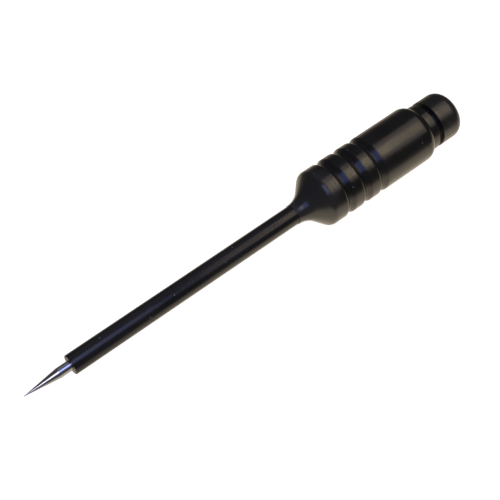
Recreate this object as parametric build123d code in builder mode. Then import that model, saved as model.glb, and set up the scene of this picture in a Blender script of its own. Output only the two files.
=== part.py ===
from build123d import *

import os
from math import pi, sqrt, tan

# Needle test probe: a steel needle in a long insulating sleeve, a moulded finger grip,
# and a socket for a 4 mm plug at the rear, held in by an end bush.
#
# Every piece is turned or moulded round one axis, X. The origin is the centre of the
# socket's mouth, +X runs to the needle's point and +Z is up. Millimetres.

os.makedirs("parts", exist_ok=True)

# ---- driving dimensions -------------------------------------------------------------
# Needle: ground stainless rod with a fine point
needle_radius = 1.0
point_x = 103.0
cone_length = 7.3
point_radius = 0.06

# Sleeve: rigid insulating tube over the needle, with a thinner spigot bonded in the grip's nose
sleeve_radius = 2.0
sleeve_front_x = 93.2
sleeve_edge = 0.12
spigot_radius = 1.6
spigot_rear_x = 28.0

# Grip, outside: nose flare, three finger grooves, main length, rear neck
grip_radius = 6.0
flare_end_x = 35.2
flare_lip = 0.1
flare_root_arc = 5.0
flare_top_fillet = 1.6
groove_count = 3
groove_pitch = 4.3
groove_width = 2.1
groove_depth = 0.62
groove_floor_fillet = 0.35
rib_fillet = 0.45
first_groove_x = 31.0
shoulder_x = 9.7
shoulder_radius = 2.3
neck_radius = 5.0
neck_end_x = 6.2
neck_edge = 0.1

# Socket: turned brass barrel with a collar that seats in the grip
plug_bore_radius = 2.025
plug_bore_depth = 21.0
drill_point = 1.2
barrel_radius = 3.2
barrel_length = 27.5
barrel_chamfer = 0.4
flange_radius = 4.0
flange_rear_x = 12.0
flange_thickness = 1.2
needle_seat_x = 23.0

# End bush: its spigot closes the grip and traps the socket's flange, its head is the
# collar at the rear, and a gap is left between the collar and the grip's neck
collar_radius = 5.0
collar_front_x = 5.0
collar_rear_x = -0.8
collar_rim_fillet = 2.3
collar_edge = 0.15
mouth_radius = 2.6
mouth_chamfer = 0.3

# ---- places worked out from them ----------------------------------------------------
cone_base_x = point_x - cone_length
flange_front_x = flange_rear_x + flange_thickness
shoulder_rise = shoulder_radius - (grip_radius - neck_radius)
neck_start_x = shoulder_x - sqrt(shoulder_radius**2 - shoulder_rise**2)
# The flare is a 45 degree cone, so its root arc turns through 45 degrees
lip_radius = sleeve_radius + flare_lip
root_tangent = flare_root_arc * tan(pi / 8)
flare_root_x = flare_end_x + grip_radius - lip_radius
root_arc_x = flare_root_x - root_tangent / sqrt(2)
root_arc_radius = lip_radius + root_tangent / sqrt(2)
grip_front_x = flare_root_x + root_tangent
groove_centres = [first_groove_x - index * groove_pitch for index in range(groove_count)]

# ---- needle -------------------------------------------------------------------------
with BuildPart() as needle:
    with BuildSketch():
        with BuildLine():
            Polyline(
                (point_x, 0),
                (needle_seat_x, 0),
                (needle_seat_x, needle_radius),
                (cone_base_x, needle_radius),
                (point_x - point_radius, point_radius),
            )
            RadiusArc((point_x - point_radius, point_radius), (point_x, 0), point_radius)
        make_face()
    revolve(axis=Axis.X)
needle.part.label = "needle"
export_step(needle.part, "parts/needle.step")

# ---- sleeve -------------------------------------------------------------------------
with BuildPart() as shaft_sleeve:
    for start_x, end_x, outer_radius in (
        (spigot_rear_x, grip_front_x, spigot_radius),
        (grip_front_x, sleeve_front_x, sleeve_radius),
    ):
        with BuildSketch(Plane.YZ.offset(start_x)):
            Circle(outer_radius)
            Circle(needle_radius, mode=Mode.SUBTRACT)
        extrude(amount=end_x - start_x)
    front_rim = shaft_sleeve.edges().group_by(Axis.X)[-1].sort_by(SortBy.RADIUS)[-1]
    fillet(front_rim, sleeve_edge)
shaft_sleeve.part.label = "shaft_sleeve"
export_step(shaft_sleeve.part, "parts/shaft_sleeve.step")

# ---- grip ---------------------------------------------------------------------------
# The outline runs forward from the neck's rear end to the lip on the sleeve
groove_outline = []
for centre_x in reversed(groove_centres):
    groove_outline += [
        (centre_x - groove_width / 2, grip_radius),
        (centre_x, grip_radius - groove_depth),
        (centre_x + groove_width / 2, grip_radius),
    ]

with BuildPart() as grip:
    with BuildSketch() as grip_outline:
        with BuildLine():
            Polyline((neck_end_x, 0), (neck_end_x, neck_radius), (neck_start_x, neck_radius))
            RadiusArc((neck_start_x, neck_radius), (shoulder_x, grip_radius), shoulder_radius)
            Polyline(
                (shoulder_x, grip_radius),
                *groove_outline,
                (flare_end_x, grip_radius),
                (root_arc_x, root_arc_radius),
            )
            RadiusArc((root_arc_x, root_arc_radius), (grip_front_x, lip_radius), -flare_root_arc)
            Polyline((grip_front_x, lip_radius), (grip_front_x, 0), (neck_end_x, 0))
        make_face()
        corners = grip_outline.vertices()
        chamfer(corners.sort_by_distance((neck_end_x, neck_radius))[0], neck_edge)
        fillet(corners.sort_by_distance((flare_end_x, grip_radius))[0], flare_top_fillet)
        for centre_x in groove_centres:
            fillet(
                corners.sort_by_distance((centre_x, grip_radius - groove_depth))[0],
                groove_floor_fillet,
            )
            fillet(corners.sort_by_distance((centre_x, grip_radius + groove_width))[:2], rib_fillet)
    revolve(axis=Axis.X)
    # Bores, from the rear: bush spigot and flange, barrel, sleeve spigot
    for start_x, end_x, bore_radius in (
        (neck_end_x, flange_front_x, flange_radius),
        (flange_front_x, spigot_rear_x, barrel_radius),
        (spigot_rear_x, grip_front_x, spigot_radius),
    ):
        with BuildSketch(Plane.YZ.offset(start_x)):
            Circle(bore_radius)
        extrude(amount=end_x - start_x, mode=Mode.SUBTRACT)
grip.part.label = "grip"
export_step(grip.part, "parts/grip.step")

# ---- plug socket --------------------------------------------------------------------
with BuildPart() as plug_socket:
    with BuildSketch():
        with BuildLine():
            Polyline(
                (0, plug_bore_radius),
                (0, barrel_radius),
                (flange_rear_x, barrel_radius),
                (flange_rear_x, flange_radius),
                (flange_front_x, flange_radius),
                (flange_front_x, barrel_radius),
                (barrel_length - barrel_chamfer, barrel_radius),
                (barrel_length, barrel_radius - barrel_chamfer),
                (barrel_length, needle_radius),
                (needle_seat_x, needle_radius),
                (needle_seat_x, 0),
                (plug_bore_depth + drill_point, 0),
                (plug_bore_depth, plug_bore_radius),
                close=True,
            )
        make_face()
    revolve(axis=Axis.X)
plug_socket.part.label = "plug_socket"
export_step(plug_socket.part, "parts/plug_socket.step")

# ---- end bush -----------------------------------------------------------------------
with BuildPart() as end_bush:
    with BuildSketch() as bush_outline:
        with BuildLine():
            Polyline(
                (collar_rear_x, mouth_radius),
                (collar_rear_x, collar_radius),
                (collar_front_x, collar_radius),
                (collar_front_x, flange_radius),
                (flange_rear_x, flange_radius),
                (flange_rear_x, barrel_radius),
                (0, barrel_radius),
                (0, mouth_radius),
                close=True,
            )
        make_face()
        corners = bush_outline.vertices()
        fillet(corners.sort_by_distance((collar_rear_x, collar_radius))[0], collar_rim_fillet)
        chamfer(corners.sort_by_distance((collar_front_x, collar_radius))[0], collar_edge)
        chamfer(corners.sort_by_distance((collar_rear_x, mouth_radius))[0], mouth_chamfer)
    revolve(axis=Axis.X)
end_bush.part.label = "end_bush"
export_step(end_bush.part, "parts/end_bush.step")
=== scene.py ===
import math

import bmesh
import bpy
from mathutils import Matrix, Vector


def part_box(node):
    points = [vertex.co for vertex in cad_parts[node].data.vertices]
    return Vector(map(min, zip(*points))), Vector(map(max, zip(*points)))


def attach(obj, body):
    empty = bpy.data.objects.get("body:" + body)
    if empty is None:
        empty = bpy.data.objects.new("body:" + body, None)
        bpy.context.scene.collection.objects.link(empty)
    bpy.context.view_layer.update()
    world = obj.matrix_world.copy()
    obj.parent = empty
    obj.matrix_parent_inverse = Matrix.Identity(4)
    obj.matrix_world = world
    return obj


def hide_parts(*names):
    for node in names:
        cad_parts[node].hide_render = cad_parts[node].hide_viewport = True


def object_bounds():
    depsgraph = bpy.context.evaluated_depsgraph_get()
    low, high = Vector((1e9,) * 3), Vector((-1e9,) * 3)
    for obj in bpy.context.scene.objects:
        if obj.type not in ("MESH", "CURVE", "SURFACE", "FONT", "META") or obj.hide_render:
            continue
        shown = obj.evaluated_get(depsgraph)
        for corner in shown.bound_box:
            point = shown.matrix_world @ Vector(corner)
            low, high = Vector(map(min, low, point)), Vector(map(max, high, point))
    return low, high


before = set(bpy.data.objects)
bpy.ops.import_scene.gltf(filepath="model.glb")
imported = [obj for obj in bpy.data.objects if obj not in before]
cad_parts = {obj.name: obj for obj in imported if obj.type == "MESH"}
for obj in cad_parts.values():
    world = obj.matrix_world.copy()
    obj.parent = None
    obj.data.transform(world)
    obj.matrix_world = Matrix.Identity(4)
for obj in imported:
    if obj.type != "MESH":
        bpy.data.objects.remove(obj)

cad_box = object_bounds()

# ---- Camera --------------------------------------------------------------------------
# The probe lies on a table and is seen from above and in front of its point, close
# enough that the sleeve narrows a little towards the grip.
scene = bpy.context.scene
scene.view_settings.view_transform = "Standard"
along_probe = Vector((1, 0, 0))
view_height = math.radians(55.5)
view_turn = math.radians(50.8)
view_lean = math.radians(-0.18)
view_distance = 0.2216
aim_along = 0.0526
aim_aside = 0.00095
facing = -Vector((
    math.cos(view_height) * math.cos(view_turn),
    math.cos(view_height) * math.sin(view_turn),
    math.sin(view_height),
))
level_right = facing.cross(Vector((0, 0, 1))).normalized()
level_up = level_right.cross(facing)
camera_right = level_right * math.cos(view_lean) + level_up * math.sin(view_lean)
camera_up = camera_right.cross(facing)
aim = along_probe * aim_along + along_probe.cross(facing).normalized() * aim_aside
camera_data = bpy.data.cameras.new("camera")
camera_data.sensor_width = 36
camera_data.lens = 83.9
camera = bpy.data.objects.new("camera", camera_data)
camera.matrix_world = Matrix.Translation(aim - facing * view_distance) @ Matrix(
    (camera_right, camera_up, -facing)
).transposed().to_4x4()
scene.collection.objects.link(camera)
scene.camera = camera

# ---- Table and light -----------------------------------------------------------------
# The probe lies on a sheet of white paper, and the camera sees the paper and room pale.
# The probe's reflections see a dim sheet with a warm pool of light round it, a dim room,
# and lamps that stand for a warm ceiling behind the grip and a cool window.
paper_half_width = 1.5
paper_height = cad_box[0][2]
paper_white_colour = (0.9, 0.9, 0.9, 1)
paper_seen_glow = (0.93, 0.93, 0.93, 1)
paper_far_glow = (0.13, 0.11, 0.09, 1)
paper_pool_glow = (1.1, 0.95, 0.73, 1)
room_reflected = (0.062, 0.061, 0.062, 1)
room_seen = (0.86, 0.86, 0.86, 1)
no_colour = (0, 0, 0, 1)
pool_centre = (0.0245, 0.004)
pool_half_length = 0.076
pool_half_width = 0.034
paper_mesh = bpy.data.meshes.new("paper")
paper_mesh.from_pydata(
    [
        (x * paper_half_width, y * paper_half_width, paper_height)
        for x, y in ((-1, -1), (1, -1), (1, 1), (-1, 1))
    ],
    [],
    [(0, 1, 2, 3)],
)
paper = bpy.data.objects.new("paper", paper_mesh)
scene.collection.objects.link(paper)
paper_finish = bpy.data.materials.new("white paper")
paper_finish.use_nodes = True
paper_tree = paper_finish.node_tree
paper_shader = paper_tree.nodes["Principled BSDF"]
paper_shader.inputs["Roughness"].default_value = 0.9
paper_shader.inputs["Emission Strength"].default_value = 1.0
paper_place = paper_tree.nodes.new("ShaderNodeTexCoord")
paper_pool = paper_tree.nodes.new("ShaderNodeMapping")
paper_pool.vector_type = "TEXTURE"
paper_pool.inputs["Location"].default_value = (*pool_centre, paper_height)
paper_pool.inputs["Scale"].default_value = (pool_half_length, pool_half_width, 1)
paper_reach = paper_tree.nodes.new("ShaderNodeVectorMath")
paper_reach.operation = "LENGTH"
paper_fade = paper_tree.nodes.new("ShaderNodeMapRange")
paper_fade.interpolation_type = "SMOOTHSTEP"
paper_fade.inputs["From Min"].default_value = 1.5
paper_fade.inputs["From Max"].default_value = 0.3
paper_glow = paper_tree.nodes.new("ShaderNodeMix")
paper_glow.data_type = "RGBA"
paper_glow.inputs["A"].default_value = paper_far_glow
paper_glow.inputs["B"].default_value = paper_pool_glow
paper_seen = paper_tree.nodes.new("ShaderNodeMix")
paper_seen.data_type = "RGBA"
paper_seen.inputs["B"].default_value = paper_seen_glow
paper_white = paper_tree.nodes.new("ShaderNodeMix")
paper_white.data_type = "RGBA"
paper_white.inputs["A"].default_value = no_colour
paper_white.inputs["B"].default_value = paper_white_colour
paper_path = paper_tree.nodes.new("ShaderNodeLightPath")
for source, target in (
    (paper_place.outputs["Object"], paper_pool.inputs["Vector"]),
    (paper_pool.outputs["Vector"], paper_reach.inputs[0]),
    (paper_reach.outputs["Value"], paper_fade.inputs["Value"]),
    (paper_fade.outputs["Result"], paper_glow.inputs["Factor"]),
    (paper_glow.outputs["Result"], paper_seen.inputs["A"]),
    (paper_path.outputs["Is Camera Ray"], paper_seen.inputs["Factor"]),
    (paper_path.outputs["Is Camera Ray"], paper_white.inputs["Factor"]),
    (paper_white.outputs["Result"], paper_shader.inputs["Base Color"]),
    (paper_seen.outputs["Result"], paper_shader.inputs["Emission Color"]),
):
    paper_tree.links.new(source, target)
paper_mesh.materials.append(paper_finish)

room = bpy.data.worlds.new("dim room")
room.use_nodes = True
room_path = room.node_tree.nodes.new("ShaderNodeLightPath")
room_colour = room.node_tree.nodes.new("ShaderNodeMix")
room_colour.data_type = "RGBA"
room_colour.inputs["A"].default_value = room_reflected
room_colour.inputs["B"].default_value = room_seen
room.node_tree.links.new(room_path.outputs["Is Camera Ray"], room_colour.inputs["Factor"])
room.node_tree.links.new(
    room_colour.outputs["Result"], room.node_tree.nodes["Background"].inputs["Color"]
)
scene.world = room

probe_middle = along_probe * aim_along
seen_side = (-facing - along_probe * -facing.dot(along_probe)).normalized()
far_side = along_probe.cross(seen_side)


def softbox(name, to_point, to_far, length, breadth, colour, distance=0.8):
    """A soft rectangular light facing the probe, placed by two angles in degrees."""
    lean, roll = math.radians(to_point), math.radians(to_far)
    across = seen_side * math.cos(roll) + far_side * math.sin(roll)
    toward = along_probe * math.sin(lean) + across * math.cos(lean)
    lamp_x = (along_probe - toward * toward.dot(along_probe)).normalized()
    light = bpy.data.lights.new(name, "AREA")
    light.shape = "RECTANGLE"
    light.size = length
    light.size_y = breadth
    light.energy = length * breadth * math.pi
    light.color = colour
    lamp = bpy.data.objects.new(name, light)
    lamp.matrix_world = Matrix.Translation(probe_middle + toward * distance) @ Matrix(
        (lamp_x, toward.cross(lamp_x), toward)
    ).transposed().to_4x4()
    scene.collection.objects.link(lamp)


softbox("ceiling bounce", -30.6, 12, 0.06, 0.44, (4.1, 3.45, 2.2))
softbox("ceiling spill", -34.5, 15, 0.38, 0.88, (0.86, 0.72, 0.61))
softbox("window", 12, 10, 0.78, 0.58, (0.44, 0.55, 1.42))
softbox("window glare", 6.5, 12, 0.12, 0.4, (1.62, 1.35, 0.26), 0.79)
softbox("window sill", -7.4, 12, 0.05, 0.3, (0.45, 0.48, 0.12), 0.79)
softbox("window spill", -14, 65, 0.34, 0.7, (0.09, 0.09, 0.13))

# ---- Needle --------------------------------------------------------------------------
# A hardened stainless rod, two millimetres across, ground to a long cone at the point.
# The wheel leaves fine rings round it. It is pressed into the front of the socket.
needle_colour = (0.74, 0.75, 0.78, 1)
needle_shade = (0.58, 0.59, 0.64, 1)
needle_ring_spacing = 0.00016
needle_ring_depth = 0.000004


def add(tree, kind, **values):
    """A new node with the given input values, which are named with _ for a space."""
    node = tree.nodes.new(kind if "Node" in kind else "ShaderNode" + kind)
    for name, value in values.items():
        node.inputs[name.replace("_", " ")].default_value = value
    return node


def wire(tree, *pairs):
    """Join each output to its input."""
    for output, socket in pairs:
        tree.links.new(output, socket)


def sums(tree, operation, *terms):
    """The output of a Math node whose terms are numbers or other outputs."""
    node = add(tree, "Math")
    node.operation = operation
    for socket, term in zip(node.inputs, terms):
        if isinstance(term, (int, float)):
            socket.default_value = term
        else:
            wire(tree, (term, socket))
    return node.outputs[0]


def effect(name, inputs, outputs, tree_kind="ShaderNodeTree"):
    """A node group with named sockets, and the sockets inside its two ends."""
    tree = bpy.data.node_groups.new(name, tree_kind)
    for label, kind in inputs:
        tree.interface.new_socket(label, in_out="INPUT", socket_type="NodeSocket" + kind)
    for label, kind in outputs:
        tree.interface.new_socket(label, in_out="OUTPUT", socket_type="NodeSocket" + kind)
    start = tree.nodes.new("NodeGroupInput")
    end = tree.nodes.new("NodeGroupOutput")
    return tree, start.outputs, end.inputs


def finish(name, group, **values):
    """A material whose colour, roughness and relief come from one effect group."""
    material = bpy.data.materials.new(name)
    material.use_nodes = True
    tree = material.node_tree
    shader = tree.nodes["Principled BSDF"]
    marks = add(tree, "Group")
    marks.node_tree = group
    for label, value in values.items():
        marks.inputs[label.replace("_", " ")].default_value = value
    place = add(tree, "TexCoord")
    bump = add(tree, "Bump", Strength=1.0)
    wire(
        tree,
        (place.outputs["Object"], marks.inputs["Place"]),
        (marks.outputs["Colour"], shader.inputs["Base Color"]),
        (marks.outputs["Roughness"], shader.inputs["Roughness"]),
        (marks.outputs["Height"], bump.inputs["Height"]),
        (bump.outputs["Normal"], shader.inputs["Normal"]),
    )
    return material, shader, bump


def dress(node_name, material):
    """Give a CAD piece its material."""
    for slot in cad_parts[node_name].material_slots:
        slot.material = material


turned, given, made = effect(
    "turned metal",
    (
        ("Place", "Vector"),
        ("Colour", "Color"),
        ("Shade", "Color"),
        ("Roughness", "Float"),
        ("Ring Spacing", "Float"),
    ),
    (("Colour", "Color"), ("Roughness", "Float"), ("Height", "Float")),
)
ring_stretch = add(turned, "VectorMath")
ring_stretch.operation = "MULTIPLY"
ring_stretch.inputs[1].default_value = (1.0, 0.04, 0.04)
rings = add(turned, "TexNoise", Detail=2.0, Roughness=0.6)
stain = add(turned, "TexNoise", Scale=350.0, Detail=4.0, Roughness=0.6)
tint = add(turned, "Mix")
tint.data_type = "RGBA"
ring_gloss = add(turned, "MapRange", From_Min=0.3, From_Max=0.7, To_Min=0.7, To_Max=1.4)
wire(
    turned,
    (given["Place"], ring_stretch.inputs[0]),
    (ring_stretch.outputs[0], rings.inputs["Vector"]),
    (sums(turned, "DIVIDE", 1, given["Ring Spacing"]), rings.inputs["Scale"]),
    (given["Place"], stain.inputs["Vector"]),
    (stain.outputs["Fac"], tint.inputs["Factor"]),
    (given["Colour"], tint.inputs["A"]),
    (given["Shade"], tint.inputs["B"]),
    (rings.outputs["Fac"], ring_gloss.inputs["Value"]),
    (tint.outputs["Result"], made["Colour"]),
    (sums(turned, "MULTIPLY", ring_gloss.outputs[0], given["Roughness"]), made["Roughness"]),
    (rings.outputs["Fac"], made["Height"]),
)

needle_steel, shader, bump = finish(
    "ground stainless steel",
    turned,
    Colour=needle_colour,
    Shade=needle_shade,
    Roughness=0.09,
    Ring_Spacing=needle_ring_spacing,
)
shader.inputs["Metallic"].default_value = 1.0
bump.inputs["Distance"].default_value = needle_ring_depth
dress("needle", needle_steel)

# ---- Insulating sleeve ---------------------------------------------------------------
# A rigid black tube, four millimetres across, slid over the needle and cut square at the
# front. Drawing leaves faint lines along it. Its spigot is bonded in the grip's nose.
sleeve_black = (0.014, 0.0138, 0.0145, 1)
sleeve_rubbed = (0.017, 0.0168, 0.0175, 1)
sleeve_rub_start_x = 0.06
sleeve_rub_end_x = 0.09
sleeve_relief = 0.000012
plastic_ior = 1.58
dust_colour = (0.3, 0.28, 0.25, 1)

skin, given, made = effect(
    "black plastic skin",
    (
        ("Place", "Vector"),
        ("Colour", "Color"),
        ("Rubbed", "Color"),
        ("Rub Start", "Float"),
        ("Rub End", "Float"),
        ("Dust", "Color"),
        ("Roughness", "Float"),
        ("Grain Spacing", "Float"),
        ("Line Depth", "Float"),
    ),
    (("Colour", "Color"), ("Roughness", "Float"), ("Height", "Float")),
)
grain = add(skin, "TexNoise", Detail=3.0, Roughness=0.55)
ripple = add(skin, "TexNoise", Scale=420.0, Detail=2.0)
smudge = add(skin, "TexNoise", Scale=150.0, Detail=4.0, Roughness=0.6)
line_stretch = add(skin, "VectorMath")
line_stretch.operation = "MULTIPLY"
line_stretch.inputs[1].default_value = (35.0, 2400.0, 2400.0)
lines = add(skin, "TexNoise", Scale=1.0, Detail=2.0)
hair_stretch = add(skin, "Mapping", Rotation=(0.2, 0.5, 0.45), Scale=(70.0, 2600.0, 2600.0))
hair_noise = add(skin, "TexNoise", Scale=1.0, Detail=1.0)
hairs = add(skin, "MapRange", From_Min=0.7, From_Max=0.76, To_Max=0.22)
place_parts = add(skin, "SeparateXYZ")
# A ramp along the probe from the given colour to the paler one
paler_mask = add(skin, "MapRange")
paler_mask.interpolation_type = "SMOOTHSTEP"
paled = add(skin, "Mix")
paled.data_type = "RGBA"
specks = add(skin, "TexVoronoi", Scale=460.0)
speck_mask = add(skin, "MapRange", From_Min=0.065, From_Max=0.04)
mottle = add(skin, "MapRange", From_Min=0.3, From_Max=0.7, To_Min=0.8, To_Max=1.25)
shaded = add(skin, "Mix")
shaded.data_type = "RGBA"
shaded.blend_type = "MULTIPLY"
shaded.inputs["Factor"].default_value = 1.0
dusty = add(skin, "Mix")
dusty.data_type = "RGBA"
gloss = sums(skin, "MULTIPLY", given["Roughness"], mottle.outputs[0])
dull = sums(skin, "ADD", gloss, speck_mask.outputs[0])
scratched = sums(skin, "ADD", dull, hairs.outputs[0])
relief = sums(skin, "MULTIPLY_ADD", grain.outputs["Fac"], 0.35, ripple.outputs["Fac"])
drawn = sums(skin, "MULTIPLY_ADD", lines.outputs["Fac"], given["Line Depth"], relief)
wire(
    skin,
    (sums(skin, "DIVIDE", 1, given["Grain Spacing"]), grain.inputs["Scale"]),
    *((given["Place"], texture.inputs["Vector"]) for texture in (grain, ripple, smudge, specks)),
    (given["Place"], line_stretch.inputs[0]),
    (given["Place"], hair_stretch.inputs["Vector"]),
    (hair_stretch.outputs["Vector"], hair_noise.inputs["Vector"]),
    (hair_noise.outputs["Fac"], hairs.inputs["Value"]),
    (given["Place"], place_parts.inputs["Vector"]),
    (place_parts.outputs["X"], paler_mask.inputs["Value"]),
    (given["Rub Start"], paler_mask.inputs["From Min"]),
    (given["Rub End"], paler_mask.inputs["From Max"]),
    (given["Colour"], paled.inputs["A"]),
    (given["Rubbed"], paled.inputs["B"]),
    (paler_mask.outputs[0], paled.inputs["Factor"]),
    (line_stretch.outputs[0], lines.inputs["Vector"]),
    (specks.outputs["Distance"], speck_mask.inputs["Value"]),
    (smudge.outputs["Fac"], mottle.inputs["Value"]),
    (paled.outputs["Result"], shaded.inputs["A"]),
    (mottle.outputs[0], shaded.inputs["B"]),
    (shaded.outputs["Result"], dusty.inputs["A"]),
    (given["Dust"], dusty.inputs["B"]),
    (speck_mask.outputs[0], dusty.inputs["Factor"]),
    (dusty.outputs["Result"], made["Colour"]),
    (scratched, made["Roughness"]),
    (drawn, made["Height"]),
)

sleeve_plastic, shader, bump = finish(
    "drawn black plastic",
    skin,
    Colour=sleeve_black,
    Rubbed=sleeve_rubbed,
    Rub_Start=sleeve_rub_start_x,
    Rub_End=sleeve_rub_end_x,
    Dust=dust_colour,
    Roughness=0.2,
    Grain_Spacing=0.00022,
    Line_Depth=0.3,
)
shader.inputs["IOR"].default_value = plastic_ior
bump.inputs["Distance"].default_value = sleeve_relief
dress("shaft_sleeve", sleeve_plastic)

# ---- Grip ----------------------------------------------------------------------------
# A black thermoplastic moulding, polished by the mould, with three grooves. Its colour turns paler
# from just ahead of the first groove forward over the nose and the guard. The sleeve and the
# socket are fixed inside it.
grip_black = (0.013, 0.013, 0.012, 1)
# The paler colour of the nose and guard, ramped in from just ahead of the first groove
grip_paler_nose = (0.037, 0.0355, 0.033, 1)
guard_paler_start_x = 0.0315
guard_paler_end_x = 0.0355
moulded_relief = 0.000022
grip_plastic, shader, bump = finish(
    "moulded black plastic",
    skin,
    Colour=grip_black,
    Rubbed=grip_paler_nose,
    Rub_Start=guard_paler_start_x,
    Rub_End=guard_paler_end_x,
    Dust=dust_colour,
    Roughness=0.21,
    Grain_Spacing=0.00026,
    Line_Depth=0.0,
)
shader.inputs["IOR"].default_value = plastic_ior
bump.inputs["Distance"].default_value = moulded_relief

(grip_rear_x, _, _), (grip_front_x, grip_radius, _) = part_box("grip")
neck_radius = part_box("end_bush")[1][1]
shoulder_x = 0.0097
shoulder_radius = 0.0023
flare_end_x = 0.0352
flare_fillet = 0.0016
root_arc = 0.005
lip_radius = 0.0021
neck_edge = 0.0001
groove_count = 3
groove_pitch = 0.0043
groove_width = 0.0021
groove_depth = 0.00062
first_groove_x = 0.031
floor_round = 0.00036
rib_round = 0.0001
cuts_in_grooves = 170
steps_in_fillet = 14
facets_round = 128
core_radius = 0.001
place_tolerance = 0.00001
weld_distance = 0.000002
sharp_angle = math.radians(30)
flange_bore_radius = 0.004
flange_bore_end_x = 0.0132
barrel_bore_radius = 0.0032
spigot_bore_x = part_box("shaft_sleeve")[0][0]
spigot_bore_radius = 0.0016

# The shoulder's arc starts on the neck and ends level with the main length
step = grip_radius - neck_radius
shoulder_rise = shoulder_radius - step
shoulder_run = math.sqrt(shoulder_radius**2 - shoulder_rise**2)
neck_start_x = shoulder_x - shoulder_run
shoulder_corner_x = neck_start_x + step * shoulder_rise / shoulder_run
flare_root_x = flare_end_x + grip_radius - lip_radius
grooves_start_x = first_groove_x - (groove_count - 0.5) * groove_pitch
grooves_end_x = first_groove_x + groove_pitch / 2
grip_corners = (
    # place along the probe, radius there, fillet
    (grip_rear_x, flange_bore_radius, 0),
    (grip_rear_x, neck_radius, neck_edge),
    (neck_start_x, neck_radius, 0),
    (shoulder_corner_x, grip_radius, shoulder_radius),
    (grooves_start_x, grip_radius, 0),
    (grooves_end_x, grip_radius, 0),
    (flare_end_x, grip_radius, flare_fillet),
    (flare_root_x, lip_radius, root_arc),
    (grip_front_x, lip_radius, 0),
    (grip_front_x, spigot_bore_radius, 0),
    (spigot_bore_x, spigot_bore_radius, 0),
    (spigot_bore_x, barrel_bore_radius, 0),
    (flange_bore_end_x, barrel_bore_radius, 0),
    (flange_bore_end_x, flange_bore_radius, 0),
)


lathe, given, made = effect(
    "grooved turning",
    (
        ("Outline", "Geometry"),
        ("First Groove", "Float"),
        ("Groove Count", "Int"),
        ("Groove Pitch", "Float"),
        ("Groove Width", "Float"),
        ("Groove Depth", "Float"),
        ("Floor Round", "Float"),
        ("Rib Round", "Float"),
        ("Cuts", "Int"),
        ("Facets", "Int"),
        ("Core Radius", "Float"),
        ("Least Radius", "Float"),
        ("Material", "Material"),
    ),
    (("Turning", "Geometry"),),
    "GeometryNodeTree",
)
# Round the corners, each with the fillet that its point carries
rounded = add(lathe, "GeometryNodeFilletCurve")
rounded.mode = "POLY"
rounded.inputs["Count"].default_value = steps_in_fillet
fillet_size = add(lathe, "GeometryNodeInputRadius")
# Cut the grooved stretch finely. A straight takes its cuts from its first point, and the
# stretch's first point lies half a pitch behind the last groove
before = add(lathe, "GeometryNodeInputPosition")
before_parts = add(lathe, "SeparateXYZ")
stretch_start = sums(
    lathe,
    "SUBTRACT",
    given["First Groove"],
    sums(
        lathe,
        "MULTIPLY",
        sums(lathe, "SUBTRACT", given["Groove Count"], 0.5),
        given["Groove Pitch"],
    ),
)
at_start = sums(
    lathe, "COMPARE", before_parts.outputs["X"], stretch_start, place_tolerance
)
fine = add(lathe, "GeometryNodeSubdivideCurve")
# Sink each point by its depth in the nearest groove. The neck, the lip at the nose and
# the bores lie within the least radius and stay as they are
here = add(lathe, "GeometryNodeInputPosition")
parts = add(lathe, "SeparateXYZ")
along, out = parts.outputs["X"], parts.outputs["Y"]
behind_first = sums(lathe, "SUBTRACT", given["First Groove"], along)
steps_back = sums(lathe, "DIVIDE", behind_first, given["Groove Pitch"])
last = sums(lathe, "SUBTRACT", given["Groove Count"], 1)
whole_steps = sums(lathe, "MAXIMUM", sums(lathe, "ROUND", steps_back), 0)
nearest = sums(lathe, "MINIMUM", whole_steps, last)
past_nearest = sums(lathe, "SUBTRACT", steps_back, nearest)
offset = sums(lathe, "MULTIPLY", past_nearest, given["Groove Pitch"])
away = sums(lathe, "SMOOTH_MAX", offset, sums(lathe, "MULTIPLY", offset, -1), given["Floor Round"])
share = sums(lathe, "DIVIDE", sums(lathe, "MULTIPLY", away, 2), given["Groove Width"])
flat = sums(lathe, "MULTIPLY", sums(lathe, "SUBTRACT", 1, share), given["Groove Depth"])
sunk = sums(lathe, "SMOOTH_MAX", flat, 0, given["Rib Round"])
outside = sums(lathe, "GREATER_THAN", out, given["Least Radius"])
drop = sums(lathe, "MULTIPLY", sunk, outside)
shift = add(lathe, "CombineXYZ")
down = sums(lathe, "MULTIPLY", sums(lathe, "ADD", drop, given["Core Radius"]), -1)
grooved = add(lathe, "GeometryNodeSetPosition")
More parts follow.
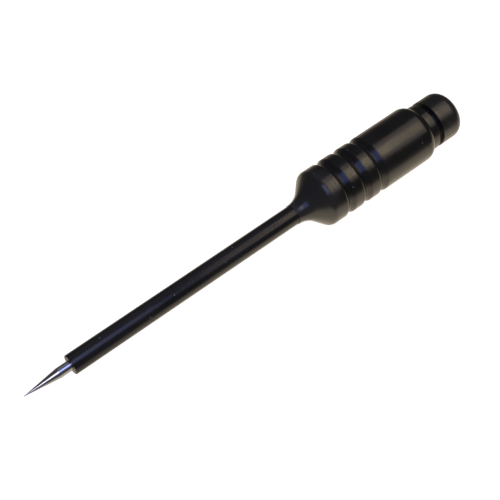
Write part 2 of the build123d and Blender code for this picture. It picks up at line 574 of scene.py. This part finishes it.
# Sweep the outline round the probe's axis on a small core circle
core = add(lathe, "GeometryNodeCurvePrimitiveCircle")
stand = add(lathe, "GeometryNodeTransform", Rotation=(0, math.pi / 2, 0))
swept = add(lathe, "GeometryNodeCurveToMesh")
joined = add(lathe, "GeometryNodeMergeByDistance", Distance=weld_distance)
smooth = add(lathe, "GeometryNodeSetShadeSmooth")
real = add(lathe, "GeometryNodeRealizeInstances")
finished = add(lathe, "GeometryNodeSetMaterial")
wire(
    lathe,
    (given["Outline"], rounded.inputs["Curve"]),
    (fillet_size.outputs["Radius"], rounded.inputs["Radius"]),
    (before.outputs["Position"], before_parts.inputs["Vector"]),
    (rounded.outputs["Curve"], fine.inputs["Curve"]),
    (sums(lathe, "MULTIPLY", at_start, given["Cuts"]), fine.inputs["Cuts"]),
    (here.outputs["Position"], parts.inputs["Vector"]),
    (down, shift.inputs["Y"]),
    (fine.outputs["Curve"], grooved.inputs["Geometry"]),
    (shift.outputs["Vector"], grooved.inputs["Offset"]),
    (given["Facets"], core.inputs["Resolution"]),
    (given["Core Radius"], core.inputs["Radius"]),
    (core.outputs["Curve"], stand.inputs["Geometry"]),
    (stand.outputs["Geometry"], swept.inputs["Curve"]),
    (grooved.outputs["Geometry"], swept.inputs["Profile Curve"]),
    (swept.outputs["Mesh"], joined.inputs["Geometry"]),
    (joined.outputs["Geometry"], smooth.inputs["Geometry"]),
    (smooth.outputs["Geometry"], real.inputs["Geometry"]),
    (real.outputs["Geometry"], finished.inputs["Geometry"]),
    (given["Material"], finished.inputs["Material"]),
    (finished.outputs["Geometry"], made["Turning"]),
)

outline_curve = bpy.data.curves.new("grip outline", "CURVE")
outline_curve.dimensions = "3D"
outline_spline = outline_curve.splines.new("POLY")
outline_spline.points.add(len(grip_corners) - 1)
outline_spline.use_cyclic_u = True
for point, (x, radius, fillet) in zip(outline_spline.points, grip_corners):
    point.co = (x, radius, 0, 1)
    point.radius = fillet
outline = bpy.data.objects.new("grip outline", outline_curve)
scene.collection.objects.link(outline)
turning = outline.modifiers.new("grooved turning", "NODES")
turning.node_group = lathe
for label, value in (
    ("First Groove", first_groove_x),
    ("Groove Count", groove_count),
    ("Groove Pitch", groove_pitch),
    ("Groove Width", groove_width),
    ("Groove Depth", groove_depth),
    ("Floor Round", floor_round),
    ("Rib Round", rib_round),
    ("Cuts", cuts_in_grooves),
    ("Facets", facets_round),
    ("Core Radius", core_radius),
    ("Least Radius", neck_radius + step / 2),
    ("Material", grip_plastic),
):
    turning[lathe.interface.items_tree[label].identifier] = value
seen_now = bpy.context.evaluated_depsgraph_get()
grip_mesh = bpy.data.meshes.new_from_object(outline.evaluated_get(seen_now), depsgraph=seen_now)
outline.modifiers.remove(turning)
bpy.data.objects.remove(outline)
# The sweep may leave the faces pointing inwards
grip_faces = bmesh.new()
grip_faces.from_mesh(grip_mesh)
bmesh.ops.recalc_face_normals(grip_faces, faces=grip_faces.faces)
grip_faces.to_mesh(grip_mesh)
grip_faces.free()
grip_mesh.set_sharp_from_angle(angle=sharp_angle)
grip = bpy.data.objects.new("grip_moulding", grip_mesh)
scene.collection.objects.link(grip)
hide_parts("grip")
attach(grip, "root")

# ---- Plug socket ---------------------------------------------------------------------
# A brass barrel, turned and drilled for a four millimetre plug, then nickel plated. It
# seats by its flange inside the grip, and the needle's rear end is pressed into it.
nickel_colour = (0.72, 0.68, 0.58, 1)
nickel_shade = (0.6, 0.55, 0.44, 1)
socket_ring_spacing = 0.00022
socket_ring_depth = 0.000006
socket_nickel, shader, bump = finish(
    "nickel plated brass",
    turned,
    Colour=nickel_colour,
    Shade=nickel_shade,
    Roughness=0.2,
    Ring_Spacing=socket_ring_spacing,
)
shader.inputs["Metallic"].default_value = 1.0
bump.inputs["Distance"].default_value = socket_ring_depth
dress("plug_socket", socket_nickel)

# ---- End bush ------------------------------------------------------------------------
# A second black moulding that closes the grip. Its spigot is pushed in behind the
# socket's flange, and its collar stays just over a millimetre clear of the neck.
bush_black = (0.024, 0.024, 0.021, 1)
bush_rubbed = (0.026, 0.026, 0.023, 1)
collar_rub_start_x = 0.003
collar_rub_end_x = -0.001
bush_plastic, shader, bump = finish(
    "moulded black plastic of the bush",
    skin,
    Colour=bush_black,
    Rubbed=bush_rubbed,
    Rub_Start=collar_rub_start_x,
    Rub_End=collar_rub_end_x,
    Dust=dust_colour,
    Roughness=0.24,
    Grain_Spacing=0.0003,
    Line_Depth=0.0,
)
shader.inputs["IOR"].default_value = plastic_ior
bump.inputs["Distance"].default_value = moulded_relief
dress("end_bush", bush_plastic)
